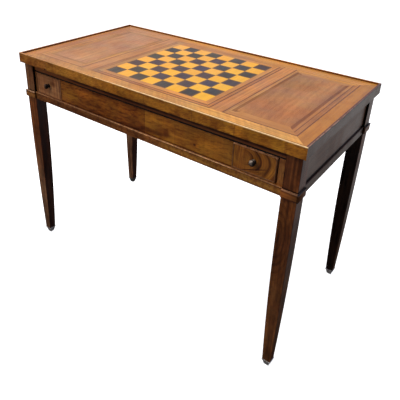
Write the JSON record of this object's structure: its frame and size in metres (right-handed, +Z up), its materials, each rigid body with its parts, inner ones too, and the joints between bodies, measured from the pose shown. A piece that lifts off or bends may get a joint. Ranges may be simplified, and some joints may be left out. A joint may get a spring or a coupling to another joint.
{
  "type": "games table",
  "caption": "Rectangular walnut games table on tapering legs, with an inlaid chess board in its lift-off top, small drawers in the front and a backgammon well inside.",
  "frame": {"origin": "centre of the table's footprint, on the floor", "axes": "+Z up, +X along the table's length, -Y towards the side with the drawers"},
  "size_m": [1.036, 0.538, 0.74],
  "materials": {
    "leg_walnut": "waxed, satin",
    "rail_walnut": "waxed, satin",
    "frieze_walnut": "polished, semi-gloss",
    "drawer_bead": "waxed, satin",
    "moulding_walnut": "waxed, satin",
    "ebonised": "satin black",
    "edge_walnut": "polished, semi-gloss",
    "core_walnut": "waxed, satin",
    "outer_banding": "polished, semi-gloss",
    "cross_band": "polished, semi-gloss",
    "board_border": "polished, semi-gloss",
    "dark_stringing": "polished, semi-gloss",
    "side_border": "polished, semi-gloss",
    "side_inner_band": "polished, semi-gloss",
    "side_field": "polished, semi-gloss",
    "dark_square": "polished, semi-gloss",
    "light_square": "polished, semi-gloss",
    "baize": "napped wool",
    "well_walnut": "waxed, satin",
    "point_dark": "polished, semi-gloss",
    "point_light": "polished, semi-gloss",
    "oak": "bare, dry",
    "knob_bronze": "dark patina, polished on the crown",
    "foot_brass": "tarnished, dull"
  },
  "bodies": {
    "carcase": {"leg_front_left": "leg_walnut", "leg_front_right": "leg_walnut", "leg_back_left": "leg_walnut", "leg_back_right": "leg_walnut", "front_upper_rail": "rail_walnut", "front_lower_rail": "rail_walnut", "back_rail": "rail_walnut", "left_side_rail": "rail_walnut", "right_side_rail": "rail_walnut", "front_frieze_panel": "frieze_walnut", "front_stiles": "frieze_walnut", "front_moulding": "moulding_walnut", "back_moulding": "moulding_walnut", "side_mouldings": "moulding_walnut", "collar_front_left": "moulding_walnut", "collar_front_right": "moulding_walnut", "collar_back_left": "moulding_walnut", "collar_back_right": "moulding_walnut", "front_black_string": "ebonised", "well_floor": "well_walnut", "well_wall_left": "well_walnut", "well_wall_right": "well_walnut", "well_linings": "well_walnut", "well_centre_bar": "well_walnut", "well_points_dark": "point_dark", "well_points_light": "point_light", "well_ledgers": "oak", "drawer_runners": "oak", "drawer_guides": "oak", "drawer_stops": "oak", "drawer_decks": "oak", "foot_caps": "foot_brass"},
    "top": {"top_core": "core_walnut", "top_lipping_front": "edge_walnut", "top_lipping_back": "edge_walnut", "top_lipping_left": "edge_walnut", "top_lipping_right": "edge_walnut", "top_baize": "baize", "outer_banding": "outer_banding", "cross_bands": "cross_band", "board_border": "board_border", "board_stringing": "dark_stringing", "chess_squares_dark": "dark_square", "chess_squares_light": "light_square", "side_panel_borders": "side_border", "side_panel_stringing": "dark_stringing", "side_panel_inner_bands": "side_inner_band", "side_panel_fields": "side_field"},
    "left_drawer": {"left_drawer_front": "frieze_walnut", "left_drawer_bead": "drawer_bead", "left_drawer_sides": "oak", "left_drawer_back": "oak", "left_drawer_bottom": "oak", "left_knob": "knob_bronze"},
    "right_drawer": {"right_drawer_front": "frieze_walnut", "right_drawer_bead": "drawer_bead", "right_drawer_sides": "oak", "right_drawer_back": "oak", "right_drawer_bottom": "oak", "right_knob": "knob_bronze"}
  },
  "joints": [
    {"name": "top_lift", "type": "slide", "parent": "carcase", "child": "top", "axis": [0, 0, 1], "range_m": [0, 0.3]},
    {"name": "left_drawer_slide", "type": "slide", "parent": "carcase", "child": "left_drawer", "axis": [0, -1, 0], "range_m": [0, 0.24]},
    {"name": "right_drawer_slide", "type": "slide", "parent": "carcase", "child": "right_drawer", "axis": [0, -1, 0], "range_m": [0, 0.24]}
  ]
}
